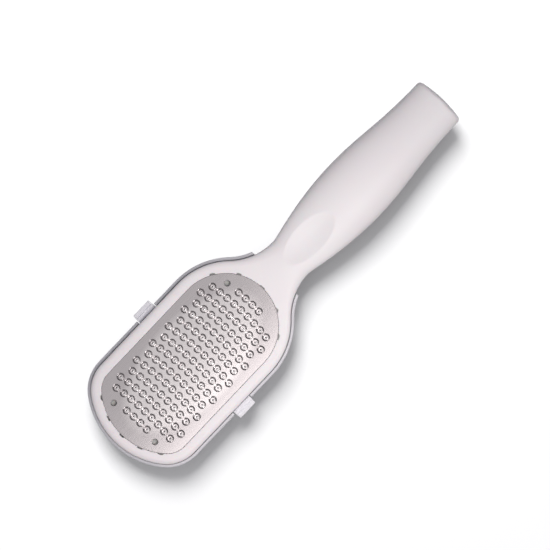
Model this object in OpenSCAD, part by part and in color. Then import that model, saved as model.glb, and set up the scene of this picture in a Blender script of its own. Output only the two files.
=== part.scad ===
// Foot file: a white moulded paddle and handle, a toothed steel plate let into the
// paddle, and a dust tray that snaps on behind it with a latch on each side.
// X runs from the toe to the end of the handle, +Z is the side of the steel plate.
// The origin lies on the flat underside of the tray, midway between the two latches.

/* [Paddle] */
// Width across the straight sides of the paddle
paddle_w = 53.8; // [52:0.2:58]
// Distance from the latch line to the tip of the toe
toe_reach = 48; // [46:0.2:52]
// Radius of the blunt toe
toe_r = 34; // [32:1:60]
// Radius of the corners beside the toe
toe_corner_r = 16; // [14:0.2:18]
// Distance from the latch line to the start of the shoulders
shoulder_reach = 18.2; // [17:0.2:24]
// Radius of the shoulders
shoulder_r = 31; // [28:0.5:36]
// Radius of the hollow curve at the waist
waist_r = 27; // [23:0.5:32]
// Depth of the paddle's frame
paddle_h = 7; // [6.6:0.1:9]
// Height of the paddle's crowned upper edge
edge_h = 1.3; // [0.8:0.1:1.8]
// Width of the paddle's crowned upper edge
edge_w = 2.4; // [1.2:0.1:3]
// Thickness of the skirt round the paddle
skirt_t = 2; // [1.7:0.1:2.3]
// Thickness of the deck round the plate
deck_t = 2.3; // [2:0.1:2.8]
// Thickness of the lip and the ribs under the deck
lip_t = 1.4; // [1.1:0.1:1.6]

/* [Handle] */
// Width of the handle at its narrowest
neck_w = 20.1; // [18:0.2:24]
// Width of the handle at its widest
belly_w = 29.9; // [26:0.2:34]
// Width of the handle at its end
end_w = 23.6; // [20:0.2:27]
// Distance along the handle from its narrowest to its widest place
belly_run = 38.9; // [35:0.5:48]
// Distance from the widest place to the end
end_run = 53.3; // [46:0.5:66]
// Radius of the slightly rounded end face
end_r = 60; // [40:1:90]
// Radius of the corners beside the end face
end_corner_r = 1.8; // [1:0.1:3]
// Height of the neck above the paddle
neck_rise = 0.5; // [0:0.1:1.5]
// Height of the widest place above the paddle
belly_rise = 4.6; // [3:0.1:6]
// Height of the end above the paddle
end_rise = 2.6; // [1:0.1:4]
// Height of the parting line above the underside of the paddle
parting_rise = 3.2; // [2.8:0.1:3.8]
// Depth of the widest place below the parting line
belly_depth = 8.4; // [6.5:0.1:9.4]
// Depth of the end below the parting line
end_depth = 6.6; // [5.5:0.1:8]
// Wall of the hollow handle
handle_wall = 2.2; // [1.8:0.1:2.6]
// Length of the thumb dimple
dimple_l = 26.6; // [20:0.2:30]
// Depth of the thumb dimple
dimple_depth = 1.4; // [0.8:0.1:1.5]
// Distance from the narrowest place to the middle of the dimple
dimple_run = 11; // [9:0.5:16]

/* [Steel plate] */
// Thickness of the plate
plate_t = 0.5; // [0.4:0.05:0.6]
// Depth of the plate's face below the edge of the paddle
plate_sink = 0.3; // [0.1:0.05:0.5]
// Width of the paddle's border beside the plate
side_border = 4.8; // [4.6:0.1:6]
// Width of the paddle's border at the toe
toe_border = 4.2; // [3.3:0.1:5]
// Radius of the plate's toe
plate_toe_r = 28; // [26:0.5:34]
// Radius of the plate's corners beside the toe
plate_corner_r = 10; // [8:0.5:14]
// Distance from the start of the shoulders to the middle of the plate's round end
tail_shift = 1.2; // [0:0.1:2]
// Width of the ledge under the plate's edge
ledge_w = 2.6; // [2.2:0.1:3]
// Play between the plate and its recess
plate_gap = 0.1; // [0.05:0.05:0.2]

/* [Toothed rings] */
// Spacing of the rings across the plate
ring_pitch = 3.864; // [3.8:0.004:4.4]
// Spacing of the ring columns along the plate
column_pitch = 4.874; // [4.2:0.002:5.6]
// Radius of the bow of each column
bow_r = 109; // [80:1:300]
// Radius of the hole in each ring
hole_r = 0.5; // [0.4:0.05:0.9]
// Inner radius of each raised ring
ring_in_r = 1; // [0.95:0.05:1.1]
// Outer radius of each raised ring
ring_out_r = 1.75; // [1.65:0.05:1.85]
// Radius of the toothed crest
crest_r = 1.4; // [1.3:0.05:1.5]
// Width of the crest
crest_t = 0.1; // [0.06:0.02:0.16]
// Height of the crest above the plate
crest_h = 0.65; // [0.4:0.05:0.9]
// Height of the notches above the plate
notch_h = 0.2; // [0.1:0.05:0.3]
// Number of notch lines in one spacing of the rings, an even number
notch_lines = 6; // [4:2:10]
// Distance of the ring pattern from the middle of the plate
field_shift = 0.475; // [0:0.025:1]

/* [Plate fixings] */
// Width of the tabs on the plate's edge
tab_w = 1.8; // [1.4:0.1:2.4]
// Length of the foot bent under the deck
tab_foot = 0.9; // [0.6:0.1:1.1]
// Gap between a tab and the outer side of its slot
slot_gap = 0.45; // [0.2:0.05:0.5]
// Play beside each tab in its slot
slot_side = 0.25; // [0.15:0.05:0.4]
// Spread of the five toe tabs, as a share of the toe's arc
toe_tab_share = 0.88; // [0.7:0.02:0.94]
// Spread of the five tabs at the round end, as a share of its half circle
tail_tab_share = 0.65; // [0.4:0.01:0.72]
// Radius of the tooling holes, which line up plate and frame while the tabs are bent
tool_hole_r = 1.25; // [1:0.05:1.4]
// Distance of two tooling holes from the plate's toe
toe_hole_run = 7.4; // [7:0.1:8.4]
// Distance of the third tooling hole from the plate's round end
tail_hole_run = 8.7; // [7.6:0.1:9]
// Distance of the tooling holes from the middle line
side_hole_run = 11.9; // [11:0.1:12.5]
// Radius of the pads under the tooling holes
pad_r = 2.6; // [2.4:0.1:3]
// Thickness left under the well in each pad
well_floor_t = 0.4; // [0.3:0.05:0.6]

/* [Dust tray] */
// Height of the ledge that the paddle sits on
tray_h = 8.2; // [7.8:0.1:12]
// Thickness of the tray's floor
floor_t = 1.4; // [1:0.1:2]
// Thickness of the tray's wall
tray_wall = 1.4; // [1.2:0.1:1.7]
// Thickness of the rim beside the paddle
rim_t = 1.3; // [1.1:0.1:1.6]
// Height of the rim above the ledge
rim_lap = 3.6; // [3.4:0.1:4.5]
// Play between the tray and the paddle
tray_gap = 0.3; // [0.2:0.05:0.4]
// Height over which the wall steps out to the rim
flare_h = 1.8; // [1.4:0.1:2.4]
// Rounding of the tray's lower edge
tray_edge_r = 2.4; // [1:0.1:3]
// Distance from the latch line to the end of the tray
tray_reach = 49.5; // [47:0.1:50.5]

/* [Latches] */
// Width of a latch at its arm
latch_w = 9.4; // [7:0.2:12]
// Width of a latch at its tip
latch_tip_w = 9; // [7:0.2:12]
// Gap beside a latch in the rim
latch_slot = 0.5; // [0.4:0.1:1.2]
// Play above and below a latch's moving ends
latch_gap = 0.3; // [0.25:0.05:0.4]
// Height of the bending line above the underside
hinge_z = 4.4; // [4:0.1:4.8]
// Reach of the finger lip beyond the rim
lip_reach = 2.7; // [1.5:0.1:4]
// Thickness of the finger lip
lip_h = 1.7; // [1.4:0.1:2]
// Step on top of the finger lip
lip_step = 0.4; // [0.2:0.1:0.6]
// Distance of that step beyond the rim
step_run = 0.6; // [0.4:0.1:1]
// Bite of a latch's hook into the skirt
hook_bite = 0.6; // [0.4:0.05:0.7]
// Depth of the pocket that the hook enters
catch_depth = 0.95; // [0.9:0.05:1.1]
// Height of the pocket
catch_h = 1.8; // [1.6:0.1:2]
// Height of the skirt left below the pocket
catch_rise = 1.2; // [1:0.1:1.4]
// Play above and below the hook in its pocket
hook_gap = 0.15; // [0.1:0.05:0.2]

/* [Handle joint] */
// Radius of the posts that join the two handle halves
post_r = 3; // [2.6:0.1:3.6]
// Radius of the joining pins
joint_pin_r = 1.5; // [1.2:0.1:1.8]
// Length of the joining pins
joint_pin_l = 3; // [2:0.1:3.4]
// Play of the joining pins in their sockets
joint_gap = 0.05; // [0.02:0.01:0.1]

/* [Hidden] */

// Overrun of every cut
cut = 1;
// Half angle left flat at the very tip of a blunt end
tip_turn = 1;
// Number of facets on the small round features
round_n = 32;

// Heights
paddle_z0 = tray_h;
paddle_z1 = paddle_z0 + paddle_h;
parting_z = paddle_z0 + parting_rise;
deck_z = paddle_z1 - deck_t;
plate_z1 = paddle_z1 - plate_sink;
plate_z0 = plate_z1 - plate_t;
rim_z = tray_h + rim_lap;

// Outline of the body
paddle_hw = paddle_w / 2;
neck_hw = neck_w / 2;
belly_hw = belly_w / 2;
end_hw = end_w / 2;
toe_cx = toe_r - toe_reach;
shoulder_cy = paddle_hw - shoulder_r;
waist_cy = neck_hw + waist_r;
waist_run = sqrt(pow(shoulder_r + waist_r, 2) - pow(waist_cy - shoulder_cy, 2));
waist_turn = atan2(waist_cy - shoulder_cy, waist_run);
neck_x = shoulder_reach + waist_run;
belly_x = neck_x + belly_run;
end_x = belly_x + end_run;
end_cx = end_x - end_r;

// How far the tangents of the handle's side curves reach, as shares of each run
neck_pull_share = 0.06;
belly_pull_share = 0.52;
belly_push_share = 0.36;
end_pull_share = 0.47;

// The paddle's section turns into the handle's section between these places
form_x0 = mix(shoulder_reach, neck_x, 0.5);
form_x1 = neck_x + neck_hw / 2;
// The rear shell starts here, clear of the tray
rear_x0 = tray_reach + 2 * handle_wall;
// Exponent of the handle's rounded section, as the share that a true oval would have
oval_share = 0.86;
// Turns of a rounded edge and leans of the handle's section, ring by ring
edge_turns = [0, 22.5, 45, 67.5, 90];
oval_leans = [15, 32, 48, 63, 77];
// Places of the posts along the handle, as shares of its length
post_shares = [0.3, 0.62, 0.9];

// Plate
plate_hw = paddle_hw - side_border;
plate_toe_x = toe_border - toe_reach;
plate_toe_cx = plate_toe_x + plate_toe_r;
plate_corner_cx = plate_toe_cx - corner_run(plate_hw, plate_toe_r, plate_corner_r);
plate_tail_cx = shoulder_reach + tail_shift;
plate_tail_x = plate_tail_cx + plate_hw;
field_x = (plate_toe_x + plate_tail_x) / 2 + field_shift;
tool_holes = [
    [plate_toe_x + toe_hole_run, side_hole_run],
    [plate_toe_x + toe_hole_run, -side_hole_run],
    [plate_tail_x - tail_hole_run, side_hole_run]
];
// Spacing of the teeth: the rings of every column share the same notch lines
tooth_pitch = ring_pitch / notch_lines;

// Tray and latches, as distances beyond the side of the paddle
wall_in = tray_gap - tray_wall;
rim_out = tray_gap + rim_t;
hinge_y = paddle_hw + tray_gap - tray_wall / 2;
catch_z0 = paddle_z0 + catch_rise;
latch_slot_z = hinge_z - tray_wall / 2 - latch_gap;

function mix(a, b, s) = a + (b - a) * s;
function ease(s) = let(c = min(1, max(0, s))) c * c * (3 - 2 * c);
function tail(list) = [for (i = [1:len(list) - 1]) list[i]];
function turned(list) = [for (i = [len(list) - 1:-1:0]) list[i]];

// Distance along X between the centres of a blunt end and of the corner beside it
function corner_run(hw, r, c) = sqrt(pow(r - c, 2) - pow(hw - c, 2));
// Angle at which a blunt end meets the corner beside it
function corner_turn(hw, r, c) = atan2(hw - c, corner_run(hw, r, c));

// Stations are [x, y, x of the normal, y of the normal]; side is -1 on a hollow curve
function arc(cx, cy, r, from, to, n, side = 1) = [for (i = [0:n])
    let(a = mix(from, to, i / n)) [cx + r * cos(a), cy + r * sin(a), side * cos(a), side * sin(a)]];
function bend(a, b, c, d, n) = [for (i = [0:n]) let(
    s = i / n,
    q = 1 - s,
    p = q * q * q * a + 3 * q * q * s * b + 3 * q * s * s * c + s * s * s * d,
    v = q * q * (b - a) + 2 * q * s * (c - b) + s * s * (d - c))
    [p.x, p.y, -v.y / norm(v), v.x / norm(v)]];

toe_turn = corner_turn(paddle_hw, toe_r, toe_corner_r);
end_turn = corner_turn(end_hw, end_r, end_corner_r);
end_corner_cx = end_cx + corner_run(end_hw, end_r, end_corner_r);
paddle_side = concat(
    arc(toe_cx, 0, toe_r, 180 - tip_turn, 180 - toe_turn, 6),
    tail(arc(toe_cx - corner_run(paddle_hw, toe_r, toe_corner_r), paddle_hw - toe_corner_r,
        toe_corner_r, 180 - toe_turn, 90, 9)),
    arc(shoulder_reach, shoulder_cy, shoulder_r, 90, waist_turn, 9),
    tail(arc(neck_x, waist_cy, waist_r, 180 + waist_turn, 270, 8, -1)));
handle_side = concat(
    bend([neck_x, neck_hw], [neck_x + neck_pull_share * belly_run, neck_hw],
        [belly_x - belly_pull_share * belly_run, belly_hw], [belly_x, belly_hw], 10),
    tail(bend([belly_x, belly_hw], [belly_x + belly_push_share * end_run, belly_hw],
        [end_corner_cx - end_pull_share * end_run, end_hw], [end_corner_cx, end_hw], 10)));
end_side = concat(
    tail(arc(end_corner_cx, end_hw - end_corner_r, end_corner_r, 90, end_turn, 3)),
    tail(arc(end_cx, 0, end_r, end_turn, tip_turn, 3)));
body_side = concat(paddle_side, tail(handle_side), end_side);
side_table = [for (s = concat(paddle_side, tail(handle_side))) [s[0], s[1]]];
function station(x) = [x, lookup(x, side_table), 0, 1];

plate_turn = corner_turn(plate_hw, plate_toe_r, plate_corner_r);
plate_side = concat(
    arc(plate_toe_cx, 0, plate_toe_r, 180 - tip_turn, 180 - plate_turn, 9),
    tail(arc(plate_corner_cx, plate_hw - plate_corner_r, plate_corner_r, 180 - plate_turn, 90, 6)),
    arc(plate_tail_cx, 0, plate_hw, 90, tip_turn, 18));

// Heights of the body's upper and lower faces along the middle line
function top_z(x) = paddle_z1 + (
    x < neck_x ? neck_rise * ease((x - form_x0) / (neck_x - form_x0)) :
    x < belly_x ? mix(neck_rise, belly_rise, ease((x - neck_x) / belly_run)) :
    mix(belly_rise, end_rise, ease((x - belly_x) / end_run)));
function low_z(x) = parting_z - (
    x < belly_x ? mix(parting_rise, belly_depth, ease((x - rear_x0) / (belly_x - rear_x0))) :
    mix(belly_depth, end_depth, ease((x - belly_x) / end_run)));

// One point of the body's section: squared with a crowned edge on the paddle, oval on the
// handle. up is 1 above the parting line and -1 below it, g grows the section.
function skin(s, g, up, turn, lean) = let(
    x = s[0] + g * s[2],
    y = s[1] + g * s[3],
    h = (up > 0 ? top_z(s[0]) - parting_z : parting_z - low_z(s[0])) + g,
    e = edge_w * (1 - cos(turn)),
    nose = end_corner_r * (1 - cos(lean)) * ease(1 - (end_x - s[0]) / (4 * end_corner_r)),
    m = ease((s[0] - form_x0) / (form_x1 - form_x0)))
    [mix(x - e * s[2], x - nose, m),
     mix(y - e * s[3], y * pow(cos(lean), oval_share), m),
     parting_z + up * mix(h - edge_h * (1 - sin(turn)), h * pow(sin(lean), oval_share), m)];

// A solid skinned over rings of points, each given on its +Y side only, and mirrored
module ring_stack(rings, up = 1) {
    n = len(rings[0]);
    levels = len(rings);
    points = [for (r = rings) each concat(r, [for (p = r) [p.x, -p.y, p.z]])];
    function at(r, k, low) = r * 2 * n + k + (low ? n : 0);
    sides = [for (r = [0:levels - 2]) for (k = [0:n - 2]) each [
        [at(r, k, false), at(r, k + 1, false), at(r + 1, k + 1, false)],
        [at(r, k, false), at(r + 1, k + 1, false), at(r + 1, k, false)],
        [at(r, k, true), at(r + 1, k + 1, true), at(r, k + 1, true)],
        [at(r, k, true), at(r + 1, k, true), at(r + 1, k + 1, true)]]];
    caps = [for (k = [0:n - 2]) each [
        [at(0, k, true), at(0, k + 1, true), at(0, k + 1, false), at(0, k, false)],
        [at(levels - 1, k, false), at(levels - 1, k + 1, false),
         at(levels - 1, k + 1, true), at(levels - 1, k, true)]]];
    ends = [for (r = [0:levels - 2]) each [
        [at(r, 0, false), at(r + 1, 0, false), at(r + 1, 0, true), at(r, 0, true)],
        [at(r, n - 1, true), at(r + 1, n - 1, true), at(r + 1, n - 1, false), at(r, n - 1, false)]]];
    faces = concat(sides, caps, ends);
    polyhedron(points = points, faces = up > 0 ? faces : [for (f = faces) turned(f)]);
}

// The body's rounded form on one side of the parting line, based at height z
module body_form(stations, g, up, z) {
    ring_stack(concat(
        [[for (s = stations) [s[0] + g * s[2], s[1] + g * s[3], z]]],
        [for (i = [0:len(edge_turns) - 1])
            [for (s = stations) skin(s, g, up, edge_turns[i], oval_leans[i])]]), up);
}

// The hollow of one handle half
module handle_hollow(up) {
    x0 = rear_x0 + handle_wall;
    x1 = end_corner_cx - handle_wall;
    n = 18;
    body_form([for (i = [0:n]) station(mix(x0, x1, i / n))], -handle_wall, up, parting_z - up * cut);
}

module outline(stations, g = 0) {
    upper = [for (s = stations) [s[0] + g * s[2], s[1] + g * s[3]]];
    polygon(concat(upper, turned([for (p = upper) [p.x, -p.y]])));
}

// Half plane up to x, wide enough for the paddle
module before(x) {
    reach = toe_reach + paddle_w;
    translate([x - reach, -paddle_w]) square([reach, 2 * paddle_w]);
}

// Places the pattern of tabs: X points out of the plate's edge
module at_tabs() {
    places = concat(
        [for (i = [-2:2]) [plate_toe_cx, plate_toe_r, 180 + i / 2 * toe_tab_share * plate_turn]],
        [for (i = [-2:2]) [plate_tail_cx, plate_hw, i / 2 * tail_tab_share * 90]]);
    for (p = places) translate([p[0], 0, 0]) rotate(p[2]) translate([p[1], 0, 0]) children();
}

module window_cuts() {
    translate([0, 0, paddle_z0 - cut]) linear_extrude(deck_z - paddle_z0 + cut)
        outline(plate_side, -ledge_w);
    translate([0, 0, deck_z - cut]) linear_extrude(plate_z0 - deck_z + 2 * cut) difference() {
        outline(plate_side, -ledge_w);
        for (p = tool_holes) translate(p) circle(r = pad_r, $fn = round_n);
    }
    translate([0, 0, plate_z0]) linear_extrude(plate_t + plate_sink + cut)
        outline(plate_side, plate_gap);
}

// The channel under the deck, between the skirt and the lip, crossed by ribs
module channel_cut() {
    rib_shares = [-0.62, -0.3, 0.3];
    translate([0, 0, paddle_z0 - cut]) linear_extrude(deck_z - paddle_z0 + cut) difference() {
        intersection() {
            outline(paddle_side, -skirt_t);
            before(plate_tail_x + ledge_w);
        }
        outline(plate_side, lip_t - ledge_w);
        for (s = rib_shares) translate([s * toe_reach - lip_t / 2, -paddle_w])
            square([lip_t, 2 * paddle_w]);
    }
}

module tab_slots() {
    depth = plate_t + slot_side + slot_gap;
    at_tabs() translate([-plate_t - slot_side, -tab_w / 2 - slot_side, deck_z - cut])
        cube([depth, tab_w + 2 * slot_side, deck_t + 2 * cut]);
}

module catch_pockets() {
    w = latch_w + 2 * latch_gap;
    for (side = [-1, 1]) translate([-w / 2, side * (paddle_hw - catch_depth / 2 + cut / 2)
        - (catch_depth + cut) / 2, catch_z0]) cube([w, catch_depth + cut, catch_h]);
}

// The wells that take the tips of the tool's pins
module tool_wells() {
    for (p = tool_holes) translate([p.x, p.y, deck_z + well_floor_t])
        cylinder(r = tool_hole_r, h = plate_z0 - deck_z - well_floor_t + cut, $fn = round_n);
}

// A shallow ball-shaped hollow, square to the sloping top of the handle
module dimple() {
    x = neck_x + dimple_run;
    r = pow(dimple_l / 2, 2) / (2 * dimple_depth) + dimple_depth / 2;
    slope = atan2(top_z(x + cut) - top_z(x - cut), 2 * cut);
    translate([x, 0, top_z(x)]) rotate([0, -slope, 0]) translate([0, 0, r - dimple_depth])
        sphere(r = r, $fn = 96);
}

module front_shell() {
    color("whitesmoke") {
        difference() {
            body_form(body_side, 0, 1, paddle_z0);
            translate([rear_x0, -paddle_hw, paddle_z0 - cut])
                cube([end_x, paddle_w, parting_rise + cut]);
            handle_hollow(1);
            window_cuts();
            channel_cut();
            tab_slots();
            catch_pockets();
            tool_wells();
            dimple();
        }
        for (s = post_shares) let(x = mix(neck_x, end_x, s)) translate([x, 0, parting_z])
            difference() {
                cylinder(r = post_r, h = top_z(x) - handle_wall / 2 - parting_z, $fn = round_n);
                translate([0, 0, -cut]) cylinder(r = joint_pin_r + joint_gap,
                    h = joint_pin_l + joint_gap + cut, $fn = round_n);
            }
    }
}

module rear_shell() {
    stations = concat([station(rear_x0)], [for (s = body_side) if (s[0] > rear_x0 + cut) s]);
    color("whitesmoke") {
        difference() {
            body_form(stations, 0, -1, parting_z);
            handle_hollow(-1);
        }
        for (s = post_shares) let(x = mix(neck_x, end_x, s), z = low_z(x) + handle_wall / 2) {
            translate([x, 0, z]) cylinder(r = post_r, h = parting_z - z, $fn = round_n);
            translate([x, 0, z]) cylinder(r = joint_pin_r, h = parting_z + joint_pin_l - z,
                $fn = round_n);
        }
    }
}

// Does a ring of radius r at p lie wholly over the window?
function over_window(p, r) = let(
    limit = plate_hw - ledge_w,
    toe_corner = [plate_corner_cx, plate_hw - plate_corner_r],
    q = [p.x, abs(p.y)])
    q.y + r <= limit
    && norm([max(0, p.x - plate_tail_cx), q.y]) + r <= limit
    && norm([min(0, p.x - plate_toe_cx), q.y]) + r <= plate_toe_r - ledge_w
    && (q.x > toe_corner.x || q.y < toe_corner.y
        || norm(q - toe_corner) + r <= plate_corner_r - ledge_w);
function clear_of_holes(p, r) =
    min([for (h = tool_holes) norm([p.x - h.x, abs(p.y) - abs(h.y)])]) > r + pad_r / 2;
// Columns bow towards the handle, and every other one is shifted by half a pitch
column_n = ceil((plate_tail_x - plate_toe_x) / column_pitch / 2);
row_n = ceil(plate_hw / ring_pitch);
ring_places = [for (c = [-column_n:column_n]) for (r = [-row_n:row_n]) let(
    y = (r + (c % 2 == 0 ? 0 : 0.5)) * ring_pitch,
    p = [field_x + c * column_pitch - bow_r + sqrt(bow_r * bow_r - y * y), y])
    if (over_window(p, ring_out_r) && clear_of_holes(p, ring_out_r)) p];

// The raised rings, cut into teeth by V grooves that run along the plate
module toothed_rings() {
    groove_n = ceil(plate_hw / tooth_pitch);
    edge = (groove_n + 0.5) * tooth_pitch;
    difference() {
        for (p = ring_places) translate([p.x, p.y, plate_z1]) rotate_extrude($fn = round_n)
            polygon([[ring_in_r, 0], [ring_out_r, 0], [crest_r + crest_t / 2, crest_h],
                [crest_r - crest_t / 2, crest_h]]);
        translate([plate_toe_x - cut, 0, plate_z1]) rotate([90, 0, 90])
            linear_extrude(plate_tail_x - plate_toe_x + 2 * cut) polygon(concat(
                [[edge, crest_h + cut], [-edge, crest_h + cut]],
                [for (i = [-groove_n:groove_n]) each
                    [[(i - 0.5) * tooth_pitch, crest_h], [i * tooth_pitch, notch_h]]],
                [[edge, crest_h]]));
    }
}

module file_plate() {
    foot_z = deck_z - plate_t;
    color("silver") {
        translate([0, 0, plate_z0]) linear_extrude(plate_t) difference() {
            outline(plate_side);
            for (p = ring_places) translate(p) circle(r = hole_r, $fn = round_n);
            for (p = tool_holes) translate(p) circle(r = tool_hole_r, $fn = round_n);
        }
        toothed_rings();
        at_tabs() {
            translate([-plate_t, -tab_w / 2, foot_z])
                cube([plate_t, tab_w, plate_z0 + plate_t / 2 - foot_z]);
            translate([-plate_t, -tab_w / 2, foot_z]) cube([plate_t + tab_foot, tab_w, plate_t]);
        }
    }
}

module dust_tray() {
    edge = [for (a = edge_turns)
        [tray_gap - tray_edge_r * (1 - sin(a)), tray_edge_r * (1 - cos(a))]];
    steps = concat(edge, [[tray_gap, tray_h - flare_h], [rim_out, tray_h], [rim_out, rim_z]]);
    slot_w = latch_w + 2 * latch_slot;
    color("gainsboro") difference() {
        ring_stack([for (t = steps) [for (s = paddle_side) [s[0] + t[0] * s[2], s[1] + t[0] * s[3], t[1]]]]);
        translate([tray_reach, -paddle_hw, -cut]) cube([neck_x, paddle_w, rim_z + 2 * cut]);
        translate([0, 0, floor_t]) linear_extrude(tray_h) intersection() {
            outline(paddle_side, wall_in);
            before(tray_reach - tray_wall);
        }
        translate([0, 0, tray_h]) linear_extrude(rim_lap + cut) outline(paddle_side, tray_gap);
        for (side = [-1, 1]) translate([-slot_w / 2, side * hinge_y - tray_wall - cut, latch_slot_z])
            cube([slot_w, 2 * (tray_wall + cut), rim_z]);
    }
}

// The left latch, upright: a bending arm with a hook inside and a finger lip outside
module latch() {
    y_in = paddle_hw + wall_in;
    y_mid = paddle_hw + tray_gap;
    y_out = paddle_hw + rim_out;
    y_lip = y_out + lip_reach;
    y_hook = paddle_hw - hook_bite;
    hook_z0 = catch_z0 + hook_gap;
    hook_z1 = catch_z0 + catch_h - hook_gap;
    intersection() {
        translate([-latch_w / 2, 0, 0]) rotate([90, 0, 90]) linear_extrude(latch_w) {
            polygon([[y_in, hinge_z], [y_mid, hinge_z], [y_mid, tray_h - flare_h], [y_out, tray_h],
                [y_out, rim_z - lip_h], [y_lip, rim_z - lip_h + lip_step], [y_lip, rim_z - lip_step],
                [y_out + step_run, rim_z - lip_step], [y_out + step_run, rim_z], [y_mid, rim_z],
                [y_mid, hook_z1], [y_hook, hook_z1 - hook_bite], [y_hook, hook_z0], [y_mid, hook_z0],
                [y_mid, tray_h - latch_gap], [y_in, tray_h - latch_gap]]);
            translate([hinge_y, hinge_z]) circle(r = tray_wall / 2, $fn = round_n);
        }
        linear_extrude(rim_z) polygon([[-latch_w / 2, 0], [-latch_w / 2, y_out],
            [-latch_tip_w / 2, y_lip + cut], [latch_tip_w / 2, y_lip + cut],
            [latch_w / 2, y_out], [latch_w / 2, 0]]);
    }
}

module latch_left() { color("gainsboro") latch(); }
module latch_right() { color("gainsboro") mirror([0, 1, 0]) latch(); }

front_shell();
rear_shell();
file_plate();
dust_tray();
latch_left();
latch_right();
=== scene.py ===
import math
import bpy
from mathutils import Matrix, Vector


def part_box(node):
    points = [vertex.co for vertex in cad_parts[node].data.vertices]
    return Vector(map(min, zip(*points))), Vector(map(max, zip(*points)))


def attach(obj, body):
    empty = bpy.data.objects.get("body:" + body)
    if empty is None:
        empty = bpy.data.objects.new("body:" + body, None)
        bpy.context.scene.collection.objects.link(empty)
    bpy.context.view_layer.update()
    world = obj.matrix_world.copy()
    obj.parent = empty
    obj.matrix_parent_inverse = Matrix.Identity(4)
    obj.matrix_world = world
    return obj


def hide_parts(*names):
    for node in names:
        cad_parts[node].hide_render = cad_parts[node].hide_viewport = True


bl_info = {
    "name": "Foot File Studio",
    "version": (1, 0, 0),
    "blender": (4, 5, 0),
    "location": "View3D > Sidebar > Foot File",
    "description": "Moulded foot file with a toothed steel plate and a dust tray, in a plain studio",
    "category": "Object",
}

import bmesh
import bpy
from bpy.props import FloatProperty, FloatVectorProperty, IntProperty, PointerProperty
from bpy.types import Operator, Panel, PropertyGroup
from mathutils import Matrix, Vector

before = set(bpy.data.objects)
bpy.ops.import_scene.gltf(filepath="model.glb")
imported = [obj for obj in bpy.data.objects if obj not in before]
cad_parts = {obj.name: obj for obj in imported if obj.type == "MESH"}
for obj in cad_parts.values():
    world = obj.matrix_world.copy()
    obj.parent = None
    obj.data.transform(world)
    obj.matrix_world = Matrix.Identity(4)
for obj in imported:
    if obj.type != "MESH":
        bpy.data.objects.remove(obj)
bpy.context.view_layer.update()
PREFIX = "foot_file_"
PIECES = []

MM = 0.001
# How far a cutter reaches past what it cuts
OVER = MM
# In metres: points nearer than WELD are joined, and lengths under TINY count as nothing
WELD = 1e-6
TINY = 1e-7
# An edge that turns by more degrees than this stays sharp
SHARP_ANGLE = 32
WHITE = (1.0, 1.0, 1.0)

FRONT_LOW, FRONT_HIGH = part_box("front_shell")
PLATE_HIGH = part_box("file_plate")[1]
TRAY_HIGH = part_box("dust_tray")[1]
LATCH_LOW, LATCH_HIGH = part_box("latch_left")


# Values


def linear(hex_colour):
    """The linear RGB values of an sRGB colour written as #rrggbb."""
    shares = [int(hex_colour[i : i + 2], 16) / 255 for i in (1, 3, 5)]
    return [s / 12.92 if s <= 0.04045 else ((s + 0.055) / 1.055) ** 2.4 for s in shares]


def length(name, description, millimetres):
    return FloatProperty(name=name, description=description, default=millimetres * MM, subtype="DISTANCE")


def turn(name, description, degrees):
    return FloatProperty(name=name, description=description, default=math.radians(degrees), subtype="ANGLE")


def spot(name, description, millimetres):
    default = [v * MM for v in millimetres]
    return FloatVectorProperty(name=name, description=description, default=default, subtype="XYZ_LENGTH")


def share(name, description, default):
    return FloatProperty(name=name, description=description, default=default, subtype="FACTOR")


def power(name, description, watts):
    return FloatProperty(name=name, description=description, default=watts, unit="POWER")


def colour(name, description, hex_colour):
    default = linear(hex_colour)
    return FloatVectorProperty(name=name, description=description, default=default, subtype="COLOR")


class PaddleSizes(PropertyGroup):
    half_width: length("Half width", "Middle line to the straight sides", FRONT_HIGH.y / MM)
    toe_reach: length("Toe reach", "Latch line to the tip of the toe", -FRONT_LOW.x / MM)
    toe_radius: length("Toe radius", "Radius of the blunt toe", 34)
    toe_corner: length("Toe corner", "Radius of the corners beside the toe", 16)
    shoulder_reach: length("Shoulder reach", "Latch line to the start of the shoulders", 18.2)
    shoulder_radius: length("Shoulder radius", "Radius of the shoulders", 31)
    waist_radius: length("Waist radius", "Radius of the hollow curve at the waist", 27)
    depth: length("Depth", "Depth of the paddle's frame", 7)
    edge_height: length("Edge height", "Height of the crowned upper edge", 1.3)
    edge_width: length("Edge width", "Width of the crowned upper edge", 2.4)
    skirt: length("Skirt", "Thickness of the skirt round the paddle", 2)
    deck: length("Deck", "Thickness of the deck round the plate", 2.3)
    lip: length("Lip", "Thickness of the lip and ribs under the deck", 1.4)


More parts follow.
